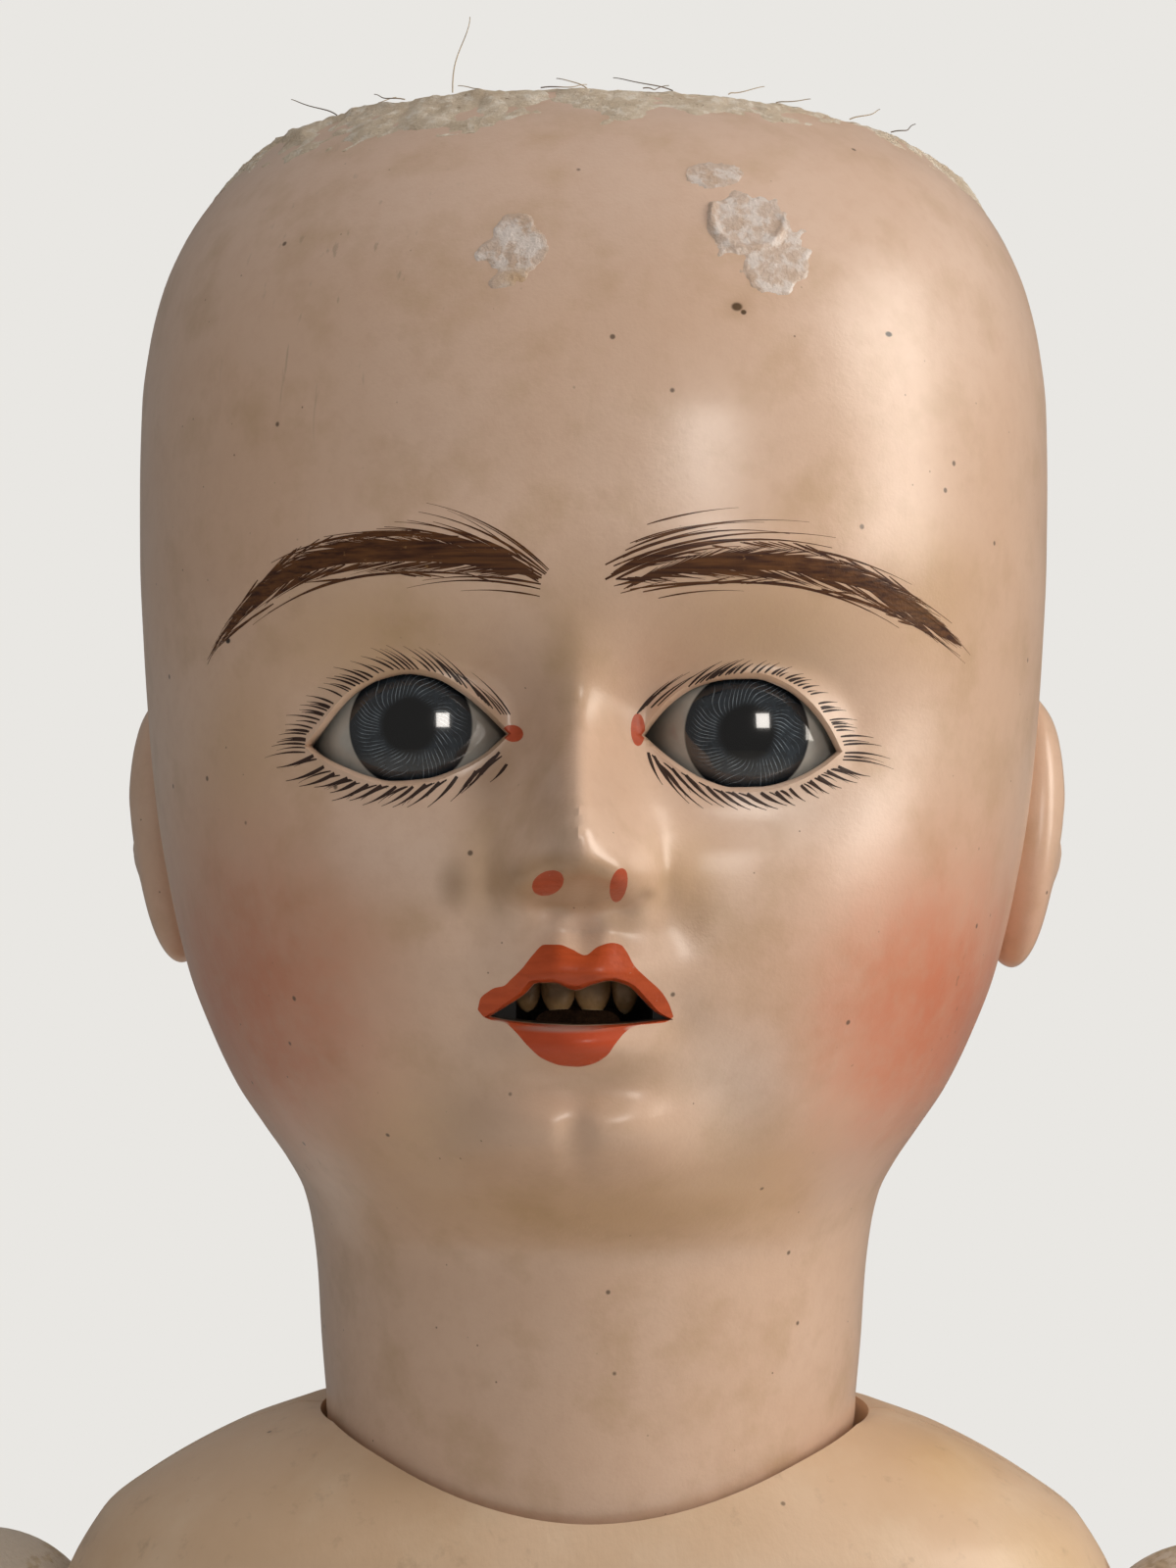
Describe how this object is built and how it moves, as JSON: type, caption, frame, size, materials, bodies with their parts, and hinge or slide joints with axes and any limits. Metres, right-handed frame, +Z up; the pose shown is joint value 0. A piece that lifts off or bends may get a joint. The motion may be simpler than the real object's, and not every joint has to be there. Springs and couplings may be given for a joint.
{
  "type": "ball-jointed socket-head doll",
  "caption": "Ball-jointed play doll: a hollow socket head with an open crown, sleeping glass eyes and teeth, strung with elastic on a jointed body.",
  "frame": {"origin": "on the ground under the middle of the standing doll", "axes": "+Z up, the doll faces -Y, its own left side is at +X"},
  "size_m": [0.164, 0.1102, 0.5012],
  "materials": {
    "bisque": "unglazed tinted porcelain, soft sheen, painted features",
    "tooth_porcelain": "yellowed glossy porcelain",
    "eye_glass": "opaque blown glass with a threaded blue-grey iris",
    "plaster": "rough dry plaster",
    "cork": "raw cork",
    "steel_wire": "dull drawn wire",
    "lead": "dull cast lead",
    "bare_wood": "turned, unpainted",
    "painted_pulp": "flesh paint under yellowed varnish on pressed wood pulp",
    "painted_wood": "flesh paint under yellowed varnish",
    "elastic": "cotton-covered elastic"
  },
  "bodies": {
    "torso": {"torso_front": "painted_pulp", "torso_back": "painted_pulp", "arm_elastic_across": "elastic", "left_leg_elastic": "elastic", "right_leg_elastic": "elastic"},
    "neck": {"neck_button": "bare_wood", "neck_hook": "steel_wire", "leg_elastic_loop": "elastic"},
    "head": {"head_shell": "bisque", "upper_teeth": "tooth_porcelain", "left_eye_plaster": "plaster", "right_eye_plaster": "plaster", "eye_stop": "cork"},
    "eyes": {"left_eye": "eye_glass", "right_eye": "eye_glass", "left_eye_plug": "plaster", "right_eye_plug": "plaster", "rocker_wire": "steel_wire", "eye_weight": "lead"},
    "left_shoulder": {"left_shoulder_ball": "bare_wood"},
    "left_upper_arm_body": {"left_upper_arm": "painted_wood", "left_upper_arm_elastic": "elastic"},
    "left_elbow": {"left_elbow_ball": "bare_wood"},
    "left_forearm_body": {"left_forearm": "painted_wood", "left_forearm_elastic": "elastic"},
    "left_hand_body": {"left_hand": "painted_wood", "left_wrist_hook": "steel_wire"},
    "left_hip": {"left_hip_ball": "bare_wood"},
    "left_thigh_body": {"left_thigh": "painted_wood", "left_thigh_elastic": "elastic"},
    "left_knee": {"left_knee_ball": "bare_wood"},
    "left_lower_leg_body": {"left_lower_leg": "painted_wood", "left_shin_elastic": "elastic", "left_leg_hook": "steel_wire"},
    "right_shoulder": {"right_shoulder_ball": "bare_wood"},
    "right_upper_arm_body": {"right_upper_arm": "painted_wood", "right_upper_arm_elastic": "elastic"},
    "right_elbow": {"right_elbow_ball": "bare_wood"},
    "right_forearm_body": {"right_forearm": "painted_wood", "right_forearm_elastic": "elastic"},
    "right_hand_body": {"right_hand": "painted_wood", "right_wrist_hook": "steel_wire"},
    "right_hip": {"right_hip_ball": "bare_wood"},
    "right_thigh_body": {"right_thigh": "painted_wood", "right_thigh_elastic": "elastic"},
    "right_knee": {"right_knee_ball": "bare_wood"},
    "right_lower_leg_body": {"right_lower_leg": "painted_wood", "right_shin_elastic": "elastic", "right_leg_hook": "steel_wire"}
  },
  "joints": [
    {"name": "neck_tilt", "type": "hinge", "parent": "torso", "child": "neck", "pos_m": [0, 0.00068, 0.377], "axis": [1, 0, 0], "range_deg": [-9, 9]},
    {"name": "neck_turn", "type": "hinge", "parent": "neck", "child": "head", "pos_m": [0, 0.00068, 0.377], "axis": [0, 0, 1], "range_deg": [-75, 75]},
    {"name": "eye_sleep", "type": "hinge", "parent": "head", "child": "eyes", "pos_m": [0, -0.03132, 0.44117], "axis": [1, 0, 0], "range_deg": [0, 50]},
    {"name": "left_shoulder_swing", "type": "hinge", "parent": "torso", "child": "left_shoulder", "pos_m": [0.063, 0.00668, 0.34791], "axis": [-1, 0, 0], "range_deg": [-45, 170]},
    {"name": "left_shoulder_raise", "type": "hinge", "parent": "left_shoulder", "child": "left_upper_arm_body", "pos_m": [0.063, 0.00668, 0.34791], "axis": [0, -1, 0], "range_deg": [0, 75]},
    {"name": "left_elbow_twist", "type": "hinge", "parent": "left_upper_arm_body", "child": "left_elbow", "pos_m": [0.06893, 0.00668, 0.28017], "axis": [0.0872, 0, -0.9962], "range_deg": [-30, 30]},
    {"name": "left_elbow_flex", "type": "hinge", "parent": "left_elbow", "child": "left_forearm_body", "pos_m": [0.06893, 0.00668, 0.28017], "axis": [-0.9962, 0, -0.0872], "range_deg": [0, 80]},
    {"name": "left_wrist_turn", "type": "hinge", "parent": "left_forearm_body", "child": "left_hand_body", "pos_m": [0.07398, 0.00668, 0.22239], "axis": [0.0872, 0, -0.9962], "range_deg": [-60, 60]},
    {"name": "left_hip_swing", "type": "hinge", "parent": "torso", "child": "left_hip", "pos_m": [0.0235, 0.00068, 0.218], "axis": [-1, 0, 0], "range_deg": [0, 80]},
    {"name": "left_hip_spread", "type": "hinge", "parent": "left_hip", "child": "left_thigh_body", "pos_m": [0.0235, 0.00068, 0.218], "axis": [0, -1, 0], "range_deg": [0, 22]},
    {"name": "left_knee_twist", "type": "hinge", "parent": "left_thigh_body", "child": "left_knee", "pos_m": [0.0235, 0.00068, 0.115], "axis": [0, 0, 1], "range_deg": [-20, 20]},
    {"name": "left_knee_flex", "type": "hinge", "parent": "left_knee", "child": "left_lower_leg_body", "pos_m": [0.0235, 0.00068, 0.115], "axis": [1, 0, 0], "range_deg": [0, 80]},
    {"name": "right_shoulder_swing", "type": "hinge", "parent": "torso", "child": "right_shoulder", "pos_m": [-0.063, 0.00668, 0.34791], "axis": [-1, 0, 0], "range_deg": [-45, 170]},
    {"name": "right_shoulder_raise", "type": "hinge", "parent": "right_shoulder", "child": "right_upper_arm_body", "pos_m": [-0.063, 0.00668, 0.34791], "axis": [0, 1, 0], "range_deg": [0, 75]},
    {"name": "right_elbow_twist", "type": "hinge", "parent": "right_upper_arm_body", "child": "right_elbow", "pos_m": [-0.06893, 0.00668, 0.28017], "axis": [-0.0872, 0, -0.9962], "range_deg": [-30, 30]},
    {"name": "right_elbow_flex", "type": "hinge", "parent": "right_elbow", "child": "right_forearm_body", "pos_m": [-0.06893, 0.00668, 0.28017], "axis": [-0.9962, 0, 0.0872], "range_deg": [0, 80]},
    {"name": "right_wrist_turn", "type": "hinge", "parent": "right_forearm_body", "child": "right_hand_body", "pos_m": [-0.07398, 0.00668, 0.22239], "axis": [-0.0872, 0, -0.9962], "range_deg": [-60, 60]},
    {"name": "right_hip_swing", "type": "hinge", "parent": "torso", "child": "right_hip", "pos_m": [-0.0235, 0.00068, 0.218], "axis": [-1, 0, 0], "range_deg": [0, 80]},
    {"name": "right_hip_spread", "type": "hinge", "parent": "right_hip", "child": "right_thigh_body", "pos_m": [-0.0235, 0.00068, 0.218], "axis": [0, 1, 0], "range_deg": [0, 22]},
    {"name": "right_knee_twist", "type": "hinge", "parent": "right_thigh_body", "child": "right_knee", "pos_m": [-0.0235, 0.00068, 0.115], "axis": [0, 0, 1], "range_deg": [-20, 20]},
    {"name": "right_knee_flex", "type": "hinge", "parent": "right_knee", "child": "right_lower_leg_body", "pos_m": [-0.0235, 0.00068, 0.115], "axis": [1, 0, 0], "range_deg": [0, 80]}
  ]
}
